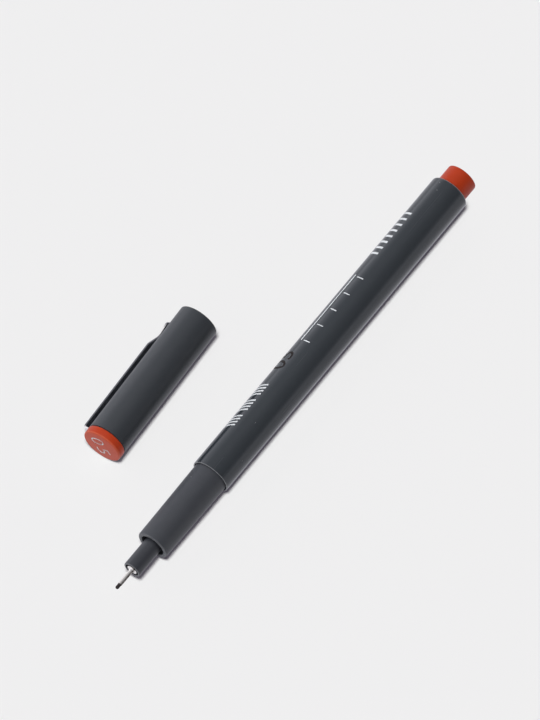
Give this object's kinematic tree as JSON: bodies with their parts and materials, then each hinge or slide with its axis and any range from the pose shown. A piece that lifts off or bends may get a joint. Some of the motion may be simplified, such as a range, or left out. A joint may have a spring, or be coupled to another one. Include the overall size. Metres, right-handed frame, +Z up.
{
  "type": "fineliner pen",
  "caption": "Round fineliner pen with a needle-sleeved fibre nib, tapered grip and tail plug, uncapped, and its clip-on cap lying beside it.",
  "frame": {"origin": "on the table, under the middle of the pen and its cap as they lie", "axes": "+X along the pen from the nib to the tail, +Y from the pen towards the cap, +Z up"},
  "size_m": [0.1368, 0.0386, 0.0103],
  "materials": {
    "barrel_plastic": "gloss moulded, dark charcoal",
    "grip_plastic": "satin moulded, dark grey",
    "nose_plastic": "satin moulded, dark grey",
    "tip_steel": "drawn and polished",
    "nib_fibre": "bonded fibre, soaked with black ink",
    "wick_fibre": "bonded fibre, inked",
    "reservoir_fibre": "fibre wad, inked",
    "film": "thin clear wrap",
    "orange_plastic": "satin moulded, orange-red",
    "cap_plastic": "matt moulded, dark grey",
    "seal_plastic": "natural soft polymer",
    "clip_metal": "polished spring steel, cut edges dark"
  },
  "bodies": {
    "pen": {"barrel": "barrel_plastic", "grip_section": "grip_plastic", "nib_holder": "nose_plastic", "needle_sleeve": "tip_steel", "fibre_nib": "nib_fibre", "feed_wick": "wick_fibre", "ink_reservoir": "reservoir_fibre", "reservoir_film": "film", "tail_plug": "orange_plastic"},
    "cap": {"cap_tube": "cap_plastic", "inner_cap": "seal_plastic", "cap_plug": "orange_plastic"},
    "clip": {"clip": "clip_metal"}
  },
  "joints": [
    {"name": "cap_slide", "type": "slide", "parent": "pen", "child": "cap", "axis": [-0.9618, -0.2736, 0], "range_m": [0, 0.0956]},
    {"name": "clip_flex", "type": "hinge", "parent": "cap", "child": "clip", "pos_m": [-0.03822, 0.0153, 0.00281], "axis": [-0.021, 0.4821, 0.8759], "range_deg": [0, 5], "stiffness_Nm_per_rad": 0.5}
  ]
}
